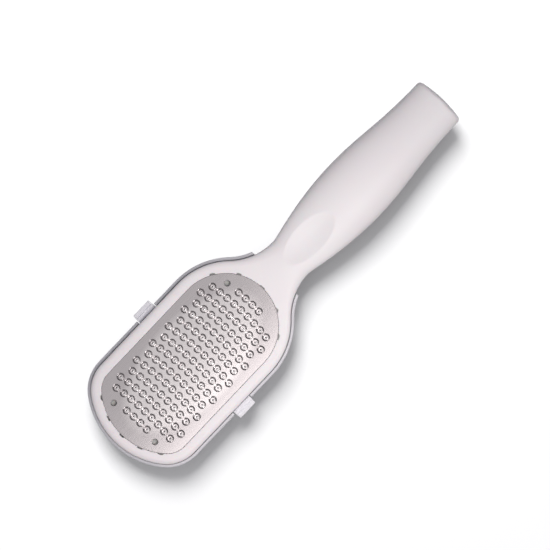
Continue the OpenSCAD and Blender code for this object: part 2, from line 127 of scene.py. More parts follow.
class HandleSizes(PropertyGroup):
    neck_half: length("Neck", "Half width at the narrowest place", 10.05)
    belly_half: length("Belly", "Half width at the widest place", 14.95)
    end_half: length("End", "Half width at the end", 11.8)
    belly_run: length("Belly run", "Narrowest to widest place", 38.9)
    end_run: length("End run", "Widest place to the end", 53.3)
    end_radius: length("End radius", "Radius of the end face", 60)
    end_corner: length("End corner", "Radius of the corners beside the end face", 1.8)
    neck_rise: length("Neck rise", "Height of the neck above the paddle", 0.5)
    belly_rise: length("Belly rise", "Height of the widest place above the paddle", 4.4)
    end_rise: length("End rise", "Height of the end above the paddle", 2.6)
    parting_rise: length("Parting rise", "Parting line above the paddle's underside", 3.2)
    belly_depth: length("Belly depth", "Widest place below the parting line", 8.4)
    end_depth: length("End depth", "End below the parting line", 6.6)
    parting_groove: length("Parting groove", "Rounding of each half at the parting line", 0.25)
    dimple_half_length: length("Dimple length", "Half the length of the thumb dimple", 13.8)
    dimple_half_width: length("Dimple width", "Half the width of the thumb dimple", 6.6)
    dimple_depth: length("Dimple depth", "Depth of the thumb dimple", 1.4)
    dimple_run: length("Dimple run", "Narrowest place to the middle of the dimple", 11)
    rear_start: length("Rear start", "Latch line to the start of the rear shell", 53.9)


# Width of the paddle's border at the toe, in millimetres
TOE_BORDER = 4.2


class PlateSizes(PropertyGroup):
    thickness: length("Thickness", "Thickness of the sheet", 0.5)
    sink: length("Sink", "Face of the plate below the edge of the paddle", 0.3)
    half_width: length("Half width", "Middle line to the straight sides", PLATE_HIGH.y / MM)
    toe_x: length("Toe", "Place of the toe along the file", FRONT_LOW.x / MM + TOE_BORDER)
    toe_radius: length("Toe radius", "Radius of the toe", 28)
    corner: length("Corner", "Radius of the corners beside the toe", 10)
    tail_centre: length("Round end", "Middle of the round end along the file", 19.4)
    ledge: length("Ledge", "Width of the ledge under the plate's edge", 2.6)
    play: length("Play", "Play between the plate and its recess", 0.1)
    tab_width: length("Tab width", "Width of the tabs on the edge", 1.8)
    tab_foot: length("Tab foot", "Length of the foot bent under the deck", 0.9)
    slot_gap: length("Slot gap", "Gap between a tab and the outer side of its slot", 0.45)
    slot_side: length("Slot side", "Play beside each tab in its slot", 0.1)
    toe_tabs: share("Toe tabs", "Spread of the toe's tabs, as a share of its arc", 0.88)
    tail_tabs: share("End tabs", "Spread of the end's tabs, as a share of its half circle", 0.65)
    tool_hole: length("Tooling hole", "Radius of the holes that line up plate and frame", 1.25)
    toe_hole: length("Toe holes", "Distance of two tooling holes from the toe", 7.4)
    tail_hole: length("End hole", "Distance of the third one from the round end", 8.7)
    side_hole: length("Hole side", "Distance of the tooling holes from the middle line", 11.9)
    pad_radius: length("Pad radius", "Radius of the pads under the tooling holes", 2.6)
    well_floor: length("Well floor", "Thickness left under the well in each pad", 0.4)
    hole_roll: length("Hole roll", "Rolled edge of the tooling holes, out and in from their radius", 0.15)


class RingSizes(PropertyGroup):
    pitch: length("Pitch", "Spacing of the rings across the plate", 3.864)
    column_pitch: length("Column pitch", "Spacing of the columns along the plate", 4.874)
    bow: length("Bow", "Radius of the bow of each column", 109)
    shift: length("Shift", "Pattern's distance from the middle of the plate", 0.475)
    hole: length("Hole", "Radius of the hole in each ring", 0.27)
    inner: length("Inner radius", "Radius at the foot of the ring's inner wall", 1.06)
    outer: length("Outer radius", "Outer radius of each raised ring", 1.75)
    crest: length("Crest radius", "Radius of the toothed crest", 1.4)
    height: length("Height", "Height of the teeth above the plate", 0.65)
    notch: length("Notch", "Height of the notches above the plate", 0.2)
    notch_lines: IntProperty(name="Notch lines", description="Notch lines in one pitch", default=6)


class TraySizes(PropertyGroup):
    ledge_height: length("Ledge height", "Height of the ledge that the paddle sits on", 8.2)
    floor: length("Floor", "Thickness of the floor", 1.4)
    wall: length("Wall", "Thickness of the wall", 1.4)
    rim: length("Rim", "Thickness of the rim beside the paddle", 1.3)
    lap: length("Lap", "Height of the rim above the ledge", 3.6)
    play: length("Play", "Play between the tray and the paddle", 0.3)
    flare: length("Flare", "Height over which the wall steps out to the rim", 1.8)
    edge_radius: length("Edge radius", "Rounding of the lower edge", 2.4)
    bead: length("Bead", "Rounding of the rim's outer top edge", 0.7)
    lip_radius: length("Lip radius", "Rounding of the rim's inner top edge", 0.2)
    reach: length("Reach", "Latch line to the end of the tray", TRAY_HIGH.x / MM)


class LatchSizes(PropertyGroup):
    width: length("Width", "Width of the arm", (LATCH_HIGH.x - LATCH_LOW.x) / MM)
    tip_width: length("Tip width", "Width of the tip", 9)
    slot: length("Slot", "Gap beside the arm in the rim", 0.5)
    play: length("Play", "Play above and below the moving ends", 0.3)
    hinge_height: length("Hinge height", "Height of the bending line", 4.4)
    reach: length("Reach", "Reach of the finger lip beyond the rim", 2.7)
    lip_height: length("Lip height", "Thickness of the finger lip", 1.7)
    lip_step: length("Lip step", "Step on top of the finger lip", 0.4)
    step_run: length("Step run", "Distance of the step beyond the rim", 0.6)
    bite: length("Bite", "Bite of the hook into the skirt", 0.6)
    pocket: length("Pocket", "Depth of the pocket that the hook enters", 0.95)
    pocket_height: length("Pocket height", "Height of the pocket", 1.8)
    pocket_rise: length("Pocket rise", "Skirt left below the pocket", 1.2)
    hook_play: length("Hook play", "Play above and below the hook", 0.15)
    edge_radius: length("Edge radius", "Rounding of the edges", 0.16)


class Finishes(PropertyGroup):
    abs_colour: colour("ABS", "Colour of the moulded body", "#EEEDEF")
    abs_shade: colour("ABS shade", "Colour of its faint cloudy patches", "#E9E0E4")
    # Painted shade for the wells and slots, where little light gets in: not colours of the ABS
    well_painted_shade: colour("Wells", "Colour of the ABS in the wells under the tooling holes", "#BCBCBA")
    slot_painted_shade: colour("Slots", "Colour of the ABS in the slots for the tabs", "#5A595B")
    steel_colour: colour("Steel", "Colour of the stainless plate", "#9B9698")
    # Painted shade and painted highlight on the rings and tooling holes: not colours of the steel
    steel_painted_shade: colour("Steel in the notches", "Colour of the steel between the teeth", "#3C3A3B")
    steel_painted_highlight: colour("Burnished steel", "Colour of the steel that the punch burnished", "#E4E0E0")
    # An oval over the rings, inside which the sheet is painted lighter
    field_reach: length("Polished reach", "Half length of the oval in which the teeth were dressed", 41)
    field_side: length("Polished side", "Half width of that oval", 20.5)
    field_brightening: share("Polish", "Polish between the teeth, where 1 is burnished steel", 0.26)
    tray_colour: colour("Polypropylene", "Colour of the tray and latches", "#E7E6ED")
    # Painted shade: the tray is painted greyer than the latches of the same polypropylene
    tray_painted_grey: colour("Thin polypropylene", "Colour of the tray's thin walls", "#D4D3D9")
    tray_shade: colour("Polypropylene shade", "Colour of its faint cloudy patches", "#E6E5EE")
    floor_colour: colour("Floor", "Colour of the floor", "#E8E8E8")
    bounce_colour: colour("Bounce", "Colour with which the floor lights the file from below", "#6C6C6C")
    floor_lift: share("Floor lift", "Light added to the floor where it is seen, to make it white", 0.07)
    spark_grain: length("Spark grain", "Grain of the spark-eroded mould", 0.35)
    brush_width: length("Brush width", "Width of the brush lines on the steel", 0.3)
    brush_length: length("Brush length", "Length of the brush lines on the steel", 24)


class Studio(PropertyGroup):
    camera_height: length("Camera height", "Height of the camera above the floor", 1000)
    camera_x: length("Camera x", "Middle of the picture along the file", 49.09)
    camera_y: length("Camera y", "Middle of the picture across the file", -0.23)
    picture_width: length("Picture width", "Width that the picture takes in at the picture plane", 231.4)
    picture_plane: length("Picture plane", "Height at which the picture width is measured", 12)
    camera_turn: turn("Camera turn", "Turn of the camera about the vertical", -46.52)
    floor_half: length("Floor", "Half the width of the floor", 4000)
    shadow_lamp: power("Shadow lamp", "Power of the lamp that draws the shadow", 39)
    shadow_size: length("Shadow lamp size", "Width of the lamp that draws the shadow", 960)
    shadow_place: spot("Shadow lamp place", "Its place from the middle of the picture", (560, 980, 1440))
    glint_lamp: power("Glint lamp", "Power of the small lamp that gives the teeth their glints", 1.2)
    glint_size: length("Glint lamp size", "Width of that small lamp", 100)
    glint_place: spot("Glint lamp place", "Its place from the middle of the picture", (-40, 300, 360))
    strip_lamp: power("Strip softbox", "Power of the strip softbox above the file", 0.275)
    strip_place: spot("Strip place", "Its place from the middle of the picture", (-12, -62, 200))
    strip_long: length("Strip length", "Length of the strip softbox", 250)
    strip_wide: length("Strip width", "Width of the strip softbox", 60)
    surroundings: share("Surroundings", "Light from overhead, where 1 would be white paper", 0.495)
    horizon: share("Horizon", "Light from the sides of the room, on the same scale", 0.08)
    surroundings_colour: colour("Surroundings colour", "Cool tint of their light", "#F7F6FA")
    lamp_colour: colour("Lamp colour", "Warm tint of the strip softbox", "#FFFAF7")


GROUPS = {
    "paddle": PaddleSizes,
    "handle": HandleSizes,
    "plate": PlateSizes,
    "ring": RingSizes,
    "tray": TraySizes,
    "latch": LatchSizes,
    "finish": Finishes,
    "studio": Studio,
}


def sizes(group):
    """The values of one group, as they are set in the scene."""
    return getattr(bpy.context.scene, PREFIX + group)


# Outlines. A station is (x, y, x of the outward normal, y of the outward normal)


def mix(a, b, s):
    return a + (b - a) * s


def ease(s):
    """A smooth run from 0 to 1, flat before and after."""
    s = min(1, max(0, s))
    return s * s * (3 - 2 * s)


def corner_run(half, radius, corner):
    """Distance along X between the centres of a blunt end and of the corner beside it."""
    return math.sqrt((radius - corner) ** 2 - (half - corner) ** 2)


def corner_turn(half, radius, corner):
    """Angle at which a blunt end meets the corner beside it."""
    return math.degrees(math.atan2(half - corner, corner_run(half, radius, corner)))


def arc(cx, cy, radius, start, end, steps, side=1):
    """Stations along an arc. side is -1 on a hollow curve, whose normals point to its centre."""
    stations = []
    for i in range(steps + 1):
        a = math.radians(mix(start, end, i / steps))
        x, y = math.cos(a), math.sin(a)
        stations.append((cx + radius * x, cy + radius * y, side * x, side * y))
    return stations


def bend(a, b, c, d, steps):
    """Stations along a cubic curve from a to d, pulled by b and c."""
    stations = []
    for i in range(steps + 1):
        s = i / steps
        q = 1 - s
        p = [q**3 * a[k] + 3 * q * q * s * b[k] + 3 * q * s * s * c[k] + s**3 * d[k] for k in (0, 1)]
        v = [q * q * (b[k] - a[k]) + 2 * q * s * (c[k] - b[k]) + s * s * (d[k] - c[k]) for k in (0, 1)]
        n = math.hypot(*v)
        stations.append((p[0], p[1], -v[1] / n, v[0] / n))
    return stations


def quarter_round(radius, steps):
    """A quarter circle as (across, up): it starts straight up from (0, 0) and ends level."""
    turns = [math.radians(90 * i / steps) for i in range(steps + 1)]
    return [(radius * (1 - math.cos(a)), radius * math.sin(a)) for a in turns]


def blunt_toe(tip, half, radius, corner, steps):
    """The +Y side of a blunt toe, from its tip to the straight side. steps is for the toe and the corner."""
    centre = tip + radius
    corner_x = centre - corner_run(half, radius, corner)
    meet = 180 - corner_turn(half, radius, corner)
    toe = arc(centre, 0, radius, 180, meet, steps[0])
    return toe + arc(corner_x, half - corner, corner, meet, 90, steps[1])[1:]


def grown(side, grow):
    return [(x + grow * nx, y + grow * ny, nx, ny) for x, y, nx, ny in side]


def neck_place():
    """Place of the narrowest part of the neck, and the turn at which the shoulder meets the waist."""
    paddle, handle = sizes("paddle"), sizes("handle")
    rise = handle.neck_half + paddle.waist_radius - paddle.half_width + paddle.shoulder_radius
    run = math.sqrt((paddle.shoulder_radius + paddle.waist_radius) ** 2 - rise**2)
    return paddle.shoulder_reach + run, math.degrees(math.atan2(rise, run))


def handle_places():
    """Places of the neck, the belly and the end of the handle."""
    h = sizes("handle")
    neck_x = neck_place()[0]
    return neck_x, neck_x + h.belly_run, neck_x + h.belly_run + h.end_run


def paddle_side(grow=0.0):
    """The paddle's +Y side from the toe's tip to the neck."""
    p, handle = sizes("paddle"), sizes("handle")
    neck_x, waist = neck_place()
    shoulder_y = p.half_width - p.shoulder_radius
    waist_y = handle.neck_half + p.waist_radius
    parts = 12
    side = blunt_toe(-p.toe_reach, p.half_width, p.toe_radius, p.toe_corner, steps=(16, 24))
    start = side[-1][0]
    side += [(mix(start, p.shoulder_reach, i / parts), p.half_width, 0, 1) for i in range(1, parts)]
    side += arc(p.shoulder_reach, shoulder_y, p.shoulder_radius, 90, waist, steps=24)
    side += arc(neck_x, waist_y, p.waist_radius, 180 + waist, 270, steps=24, side=-1)[1:]
    return grown(side, grow)


def handle_side():
    """The handle's +Y side from the neck to the middle of its end face."""
    h = sizes("handle")
    neck_x, belly_x, end_x = handle_places()
    end_centre = end_x - h.end_radius
    corner_x = end_centre + corner_run(h.end_half, h.end_radius, h.end_corner)
    end = corner_turn(h.end_half, h.end_radius, h.end_corner)
    neck_pull, belly_pull, belly_push, end_pull = 0.06, 0.52, 0.36, 0.47
    neck, belly, corner = (neck_x, h.neck_half), (belly_x, h.belly_half), (corner_x, h.end_half)
    after_neck = (neck_x + neck_pull * h.belly_run, h.neck_half)
    before_belly = (belly_x - belly_pull * h.belly_run, h.belly_half)
    after_belly = (belly_x + belly_push * h.end_run, h.belly_half)
    before_corner = (corner_x - end_pull * h.end_run, h.end_half)
    side = bend(neck, after_neck, before_belly, belly, steps=110)[1:]
    side += bend(belly, after_belly, before_corner, corner, steps=40)[1:]
    side += arc(corner_x, h.end_half - h.end_corner, h.end_corner, 90, end, steps=8)[1:]
    side += arc(end_centre, 0, h.end_radius, end, 0, steps=12)[1:]
    return side


def plate_side(grow=0.0):
    """The plate's +Y side from the toe's tip to the tip of its round end."""
    p = sizes("plate")
    side = blunt_toe(p.toe_x, p.half_width, p.toe_radius, p.corner, steps=(24, 16))
    return grown(side + arc(p.tail_centre, 0, p.half_width, 90, 0, steps=48), grow)


def plate_end():
    """Place of the tip of the plate's round end along the file."""
    p = sizes("plate")
    return p.tail_centre + p.half_width


def closed(side):
    """A closed outline: the +Y side, then its mirror image back again."""
    upper = [(s[0], s[1]) for s in side]
    return upper + [(x, -y) for x, y in reversed(upper) if y > TINY]


def circle(x, y, radius, steps=32):
    turns = [2 * math.pi * i / steps for i in range(steps)]
    return [(x + radius * math.cos(a), y - radius * math.sin(a)) for a in turns]


# Meshes


def loft(name, loops, parts=None):
    """A closed solid skinned over loops of equal length. parts is a mesh that collects several of them."""
    mesh = parts or bmesh.new()
    rings = [[mesh.verts.new(p) for p in loop] for loop in loops]
    n = len(loops[0])
    for low, high in zip(rings, rings[1:]):
        for i in range(n):
            mesh.faces.new((low[i], low[(i + 1) % n], high[(i + 1) % n], high[i]))
    mesh.faces.new(list(reversed(rings[0])))
    mesh.faces.new(rings[-1])
    return mesh if parts else mesh_piece(name, mesh)


def stack(name, side, levels):
    """A solid over the outline that side gives. Each level is (growth of the outline, height)."""
    return loft(name, [[(x, y, z) for x, y in closed(side(grow))] for grow, z in levels])


def prism(name, outline, low, high, parts=None):
    """A straight solid over a closed outline, between two heights."""
    return loft(name, [[(x, y, z) for x, y in outline] for z in (low, high)], parts)


def block(name, low, high, turned=Matrix()):
    """A box between two corners, used only as a cutter."""
    corners = (low[0], low[1]), (high[0], low[1]), (high[0], high[1]), (low[0], high[1])
    return loft(name, [[tuple(turned @ Vector((x, y, z))) for x, y in corners] for z in (low[2], high[2])])


def mesh_piece(name, mesh):
    """Cleans the mesh, turns its faces outwards and makes it an object."""
    bmesh.ops.remove_doubles(mesh, verts=mesh.verts, dist=WELD)
    bmesh.ops.dissolve_degenerate(mesh, edges=mesh.edges, dist=TINY)
    bmesh.ops.recalc_face_normals(mesh, faces=mesh.faces)
    data = bpy.data.meshes.new(name)
    mesh.to_mesh(data)
    mesh.free()
    piece = bpy.data.objects.new(name, data)
    bpy.context.scene.collection.objects.link(piece)
    return piece


def apply_modifiers(piece):
    """Gives the piece the mesh that its modifiers make, and clears them."""
    graph = bpy.context.evaluated_depsgraph_get()
    made = bpy.data.meshes.new_from_object(piece.evaluated_get(graph))
    piece.modifiers.clear()
    old = piece.data
    piece.data = made
    bpy.data.meshes.remove(old)


def carve(piece, *cutters):
    """Cuts the closed cutters out of the piece and deletes them."""
    for cutter in cutters:
        cut = piece.modifiers.new("cut", "BOOLEAN")
        cut.solver = "MANIFOLD"
        cut.object = cutter
        apply_modifiers(piece)
        data = cutter.data
        bpy.data.objects.remove(cutter)
        bpy.data.meshes.remove(data)


def dress(piece, node, body, make):
    """Smooths the piece, gives it its finish and lets it stand for its CAD node."""
    piece.data.shade_smooth()
    piece.data.set_sharp_from_angle(angle=math.radians(SHARP_ANGLE))
    normals = piece.modifiers.new("flat faces stay flat", "WEIGHTED_NORMAL")
    normals.keep_sharp = True
    apply_modifiers(piece)
    piece.data.materials.clear()
    piece.data.materials.append(finish_of(make))
    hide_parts(node)
    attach(piece, body)
    PIECES.append(piece)


# Forms of the body


def handle_start():
    """Where the paddle's section begins to change into the handle's, half way from shoulder to neck."""
    return mix(sizes("paddle").shoulder_reach, neck_place()[0], 0.5)


def height_at(x, stops):
    """The height at x, with a smooth run from each stop to the next. A stop is (x, height)."""
    for (start, low), (end, high) in zip(stops, stops[1:]):
        if x < end:
            return mix(low, high, ease((x - start) / (end - start)))
    return stops[-1][1]


def top_height(x):
    """Height of the body's upper middle line above the paddle, without the dimple."""
    h = sizes("handle")
    neck_x, belly_x, end_x = handle_places()
    stops = (handle_start(), 0), (neck_x, h.neck_rise), (belly_x, h.belly_rise), (end_x, h.end_rise)
    return height_at(x, stops)


def low_depth(x):
    """Depth of the rear shell's lower middle line below the parting line."""
    h = sizes("handle")
    _, belly_x, end_x = handle_places()
    return height_at(x, ((h.rear_start, h.parting_rise), (belly_x, h.belly_depth), (end_x, h.end_depth)))


def dimple_drop(x, y):
    """Depth of the thumb dimple at a place, with a soft brim."""
    h = sizes("handle")
    middle = neck_place()[0] + h.dimple_run
    inside = 1 - ((x - middle) / h.dimple_half_length) ** 2 - (y / h.dimple_half_width) ** 2
    softness = 0.06
    return h.dimple_depth * (inside + math.hypot(inside, softness)) / 2 if inside > -1 else 0


def quarter(station, up):
    """One half of the body's section, from the parting line to the middle line. up is 1 or -1."""
    paddle, h = sizes("paddle"), sizes("handle")
    x, y, nx, ny = station
    neck_x, _, end_x = handle_places()
    start = handle_start()
    parting = FRONT_LOW.z + h.parting_rise
    handle_share = ease((x - start) / (neck_x + h.neck_half / 2 - start)) if up > 0 else 1
    height = paddle.depth - h.parting_rise + top_height(x) if up > 0 else low_depth(x)
    edge = paddle.edge_height
    groove = h.parting_groove * ease((x - h.rear_start) / h.neck_half)
    nose_share = ease(1 - (end_x - x) / (4 * h.end_corner))
    # The oval is an ellipse at power 1, and squarer below it
    oval_power = 0.86
    # Each row is (turn of the paddle's edge, share of its flat, lean of the oval)
    edge_rows, flat_rows, edge_lean, flat_lean = 24, 30, 15, 63
    rows = [(None, 0, lean) for lean in (0, 2, 5, 10)]
    for i in range(edge_rows + 1):
        rows.append((90 * i / edge_rows, 0, mix(edge_lean, flat_lean, i / edge_rows)))
    rows += [(90, i / flat_rows, mix(flat_lean, 90, i / flat_rows)) for i in range(1, flat_rows + 1)]
    points = []
    for edge_turn, flat, lean_degrees in rows:
        lean = math.radians(lean_degrees)
        nose = h.end_corner * (1 - math.cos(lean)) * nose_share
        oval_y = y * math.cos(lean) ** oval_power if lean_degrees < 90 else 0
        oval_z = height * math.sin(lean) ** oval_power
        # The oval leaves the parting line with a small rounding
        oval_y -= groove * max(0, 1 - oval_z / h.parting_groove) ** 2 * (y > groove)
        if edge_turn is None:
            square = (x, y, (height - edge) * lean_degrees / edge_lean)
        else:
            a = math.radians(edge_turn)
            inset = paddle.edge_width * (1 - math.cos(a))
            square = (x - inset * nx, (y - inset * ny) * (1 - flat), height - edge * (1 - math.sin(a)))
        px = mix(square[0], x - nose, handle_share)
        py = mix(square[1], oval_y, handle_share)
        pz = mix(square[2], oval_z, handle_share)
        if up > 0:
            pz -= dimple_drop(px, py)
        points.append((px, max(0, py) if lean_degrees < 90 else 0, parting + up * pz))
    return points


def section(station, up, base=None):
    """A closed section of one half of the body, down to the height base on the paddle."""
    half = quarter(station, up)
    if base is not None:
        half = [(half[0][0], half[0][1], base)] + half
    return half + [(x, -y, z) for x, y, z in reversed(half[:-1])]


def tab_frames():
    """Turned frames with X pointing out of the plate's edge, one for each tab."""
    p = sizes("plate")
    toe = corner_turn(p.half_width, p.toe_radius, p.corner)
    frames = []
    for i in range(-2, 3):
        for centre, radius, degrees in (
            (p.toe_x + p.toe_radius, p.toe_radius, 180 + i / 2 * p.toe_tabs * toe),
            (p.tail_centre, p.half_width, i / 2 * p.tail_tabs * 90),
        ):
            turned = Matrix.Rotation(math.radians(degrees), 4, "Z")
            frames.append(Matrix.Translation((centre, 0, 0)) @ turned @ Matrix.Translation((radius, 0, 0)))
    return frames


def tool_hole_places():
    """Places of the tooling holes: two at the toe, and one at the round end on the +Y side only."""
    p = sizes("plate")
    toe_x, end_x = p.toe_x + p.toe_hole, plate_end() - p.tail_hole
    return [(toe_x, p.side_hole), (toe_x, -p.side_hole), (end_x, p.side_hole)]


def front_shell_cutters():
    """Window, plate recess, channel, wells, tab slots and catch pockets of the front shell."""
    paddle, p, c = sizes("paddle"), sizes("plate"), sizes("latch")
    low, top = FRONT_LOW.z, FRONT_LOW.z + paddle.depth
    deck = top - paddle.deck
    seat = top - p.sink - p.thickness
    # The window keeps three pads under the tooling holes
    edge = closed(plate_side(-p.ledge))
    cutters = [prism("window", edge, low - OVER, deck)]
    window = prism("upper window", edge, deck - OVER / 2, seat + OVER / 2)
    for x, y in tool_hole_places():
        carve(window, prism("pad", circle(x, y, p.pad_radius), deck - OVER, seat + OVER))
    cutters.append(window)
    # The recess opens with a rounded edge
    soft = 0.8 * p.sink
    levels = [(p.play, seat)] + [(p.play + u, top - soft + v) for u, v in quarter_round(soft, 5)]
    cutters.append(stack("recess", plate_side, levels + [(p.play + soft, top + OVER)]))
    # The channel under the deck, between skirt and lip, crossed by ribs
    wide, under = 2 * paddle.half_width, low - 2 * OVER
    channel = prism("channel", closed(paddle_side(-paddle.skirt)), low - OVER, deck)
    heel = block("heel", (plate_end() + p.ledge, -wide, under), (4 * wide, wide, top + OVER))
    carve(channel, heel, prism("lip", closed(plate_side(paddle.lip - p.ledge)), under, top))
    for rib_share in (-0.62, -0.3, 0.3):
        x = rib_share * paddle.toe_reach
        carve(channel, block("rib", (x - paddle.lip / 2, -wide, under), (x + paddle.lip / 2, wide, top)))
    cutters.append(channel)
    for x, y in tool_hole_places():
        cutters.append(prism("well", circle(x, y, p.tool_hole), deck + p.well_floor, seat + OVER))
    inner, half = p.thickness + p.slot_side, p.tab_width / 2 + p.slot_side
    for place in tab_frames():
        slot = (-inner, -half, deck - OVER / 2), (p.slot_gap, half, top + OVER)
        cutters.append(block("slot", *slot, place))
    pocket_low = low + c.pocket_rise
    reach = paddle.half_width - c.pocket, paddle.half_width + OVER
    return cutters + both_sides(c.width / 2 + c.play, reach, (pocket_low, pocket_low + c.pocket_height))


def both_sides(half, reach, heights):
    """A block at each latch: half its width, then its two ends across the file, and its two heights."""
    blocks = []
    for ends in ((-reach[1], -reach[0]), reach):
        blocks.append(block("side", (-half, ends[0], heights[0]), (half, ends[1], heights[1])))
    return blocks


def paint_shade_in_hollows(piece):
    """Sets the attribute hollow to 1 in the wells and to 2 in the slots for the tabs, which get painted
    shade.
    """
    p = sizes("plate")
    close = 0.01 * MM
    across, along = p.tab_width / 2 + p.slot_side + close, p.thickness + p.slot_side + close
    wells = tool_hole_places()
    slots = [place.inverted() for place in tab_frames()]
    hollow = piece.data.attributes.new("hollow", "FLOAT", "POINT")
    for i, vert in enumerate(piece.data.vertices):
        from_well = min(math.hypot(vert.co.x - x, vert.co.y - y) for x, y in wells)
        in_slot = any(abs(q.y) < across and abs(q.x) < along for q in (slot @ vert.co for slot in slots))
        hollow.data[i].value = 1.0 if from_well < p.tool_hole + close else 2.0 if in_slot else 0.0


def latch_profile():
    """The left latch's outline across the file, as (y, z): arm, hook and finger lip."""
    paddle, t, c = sizes("paddle"), sizes("tray"), sizes("latch")
    inner = paddle.half_width + t.play - t.wall
    middle = paddle.half_width + t.play
    outer = middle + t.rim
    tip = outer + c.reach
    hook = paddle.half_width - c.bite
    top = t.ledge_height + t.lap
    hook_low = FRONT_LOW.z + c.pocket_rise + c.hook_play
    hook_high = FRONT_LOW.z + c.pocket_rise + c.pocket_height - c.hook_play
    foot_y, foot_radius, foot_steps = mix(inner, middle, 0.5), t.wall / 2, 10
    turns = [math.pi * i / foot_steps for i in range(foot_steps + 1)]
    foot = [(foot_y - foot_radius * math.cos(a), c.hinge_height - foot_radius * math.sin(a)) for a in turns]
    return foot + [
        (middle, t.ledge_height - t.flare),
        (outer, t.ledge_height),
        (outer, top - c.lip_height),
        (tip, top - c.lip_height + c.lip_step),
        (tip, top - c.lip_step),
        (outer + c.step_run, top - c.lip_step),
        (outer + c.step_run, top),
        (middle, top),
        (middle, hook_high),
        (hook, hook_high - c.bite),
        (hook, hook_low),
        (middle, hook_low),
        (middle, t.ledge_height - c.play),
        (inner, t.ledge_height - c.play),
    ]


# Toothed plate. A section's points are (radius, height above the plate's face, shade): above 0 painted
# shade, below 0 painted highlight


def ring_places():
    """Places of the toothed rings: bowed columns, every other one shifted by half a pitch."""
    p, r = sizes("plate"), sizes("ring")
    middle = (p.toe_x + plate_end()) / 2 + r.shift
    limit = p.half_width - p.ledge
    toe_centre = p.toe_x + p.toe_radius
    corner_x = toe_centre - corner_run(p.half_width, p.toe_radius, p.corner)
    corner = Vector((corner_x, p.half_width - p.corner))
    places = []
    columns = math.ceil((plate_end() - p.toe_x) / r.column_pitch / 2)
    rows = math.ceil(p.half_width / r.pitch)
    for column in range(-columns, columns + 1):
        for row in range(-rows, rows + 1):
            y = (row + (0 if column % 2 == 0 else 0.5)) * r.pitch
            x = middle + column * r.column_pitch - r.bow + math.sqrt(r.bow**2 - y * y)
            q = Vector((x, abs(y)))
            beside_corner = q.x > corner.x or q.y < corner.y
            over_window = (
                q.y + r.outer <= limit
                and math.hypot(max(0, x - p.tail_centre), y) + r.outer <= limit
                and math.hypot(min(0, x - toe_centre), y) + r.outer <= p.toe_radius - p.ledge
                and (beside_corner or (q - corner).length + r.outer <= p.corner - p.ledge)
            )
            # The fourth corner stays free of rings too, though it has no tooling hole
            to_holes = min(math.hypot(x - px, abs(y) - abs(py)) for px, py in tool_hole_places())
            if over_window and to_holes > r.outer + p.pad_radius / 2:
                places.append((x, y))
    return places


def ring_outline():
    """A ring's (radius, height) from the outer foot over the crest and down through the hole."""
    r, p = sizes("ring"), sizes("plate")
    outer_shares = [(0.0, 0.0), (0.22, 0.06), (0.44, 0.22), (0.64, 0.5), (0.82, 0.8), (0.95, 1.0)]
    inner_shares = [(1.0, 1.0), (0.75, 0.72), (0.5, 0.42), (0.25, 0.14), (0.0, 0.0)]
    crest_width, soft = 0.02 * MM, 0.08 * MM
    outline = [(mix(r.outer, r.crest, a), b * r.height) for a, b in outer_shares]
    outline += [(mix(r.inner, r.crest - crest_width, a), b * r.height) for a, b in inner_shares]
    return outline + [
        (r.inner - soft, 0.0),
        (r.hole + soft, 0.0),
        (r.hole + 0.3 * soft, -0.3 * soft),
        (r.hole, -soft),
        (r.hole, -p.thickness),
        (r.outer, -p.thickness),
        (r.outer, -0.2 * p.thickness),
    ]


def toothed_sections():
    """The sections of a ring at even turns, notched by V lines that run along the plate.

    A positive shade is painted shade in the notches towards ±X, and a negative one a painted highlight on
    the walls towards ±Y. Inside the ring, painted light makes the side towards -Y the bright one.
    """
    r = sizes("ring")
    outline = ring_outline()
    spacing = r.pitch / r.notch_lines
    steps, notch_slope = 90, 1.15
    outer_foot_share, inner_foot_share = 0.08, 0.7
    side_start, side_run = 0.2, 0.3
    darkest, brightest, hole_shade = 0.9, 0.8, 0.3
    sections = []
    for i in range(steps):
        a = 2 * math.pi * i / steps
        side = ease((abs(math.cos(a)) - side_start) / side_run)
        points = []
        for radius, height in outline:
            from_notch = abs((radius * math.sin(a) / spacing + 0.5) % 1 - 0.5) * 2
            limit = mix(r.notch, r.height, min(1, from_notch * notch_slope))
            foot = outer_foot_share if radius > r.crest else inner_foot_share
            on_wall = min(1, max(0, height) / (foot * r.height))
            # Painted shade on the walls towards ±X, painted highlight on those towards ±Y
            shade = darkest * on_wall * side * (1 - from_notch) - brightest * on_wall * (1 - side)
            # Inside the ring, painted light: lighter towards -Y, darker towards +Y
            if radius <= r.inner:
                shade = hole_shade * math.sin(a)
            points.append((radius, min(height, limit), shade))
        sections.append(points)
    return sections


def pierced_section():
    """The rolled edge of a tooling hole, with painted shade of 1 on the sheared edge."""
    p = sizes("plate")
    rim, throat = p.tool_hole + p.hole_roll, p.tool_hole - p.hole_roll
    rolled = [(p.tool_hole - v, -u, 1.0) for u, v in quarter_round(p.hole_roll, 3)[1:]]
    points = [(rim, 0.0, 0.0), (p.tool_hole, 0.0, 0.4), *rolled]
    return points + [(throat, -p.thickness, 1.0), (rim, -p.thickness, 0.0)]


def add_ring(mesh, x, y, sections):
    """Adds a closed ring to the mesh, skinned over sections that stand at even turns around its middle."""
    layer = mesh.verts.layers.float["notch"]
    face = PLATE_HIGH.z - sizes("ring").height
    loops = []
    for i, points in enumerate(sections):
        a = 2 * math.pi * i / len(sections)
        loop = []
        for radius, height, shade in points:
            vert = mesh.verts.new((x + radius * math.cos(a), y + radius * math.sin(a), face + height))
            vert[layer] = shade
            loop.append(vert)
        loops.append(loop)
    for here, there in zip(loops, loops[1:] + loops[:1]):
        for k in range(len(here)):
            follow = (k + 1) % len(here)
            mesh.faces.new((here[k], there[k], there[follow], here[follow]))


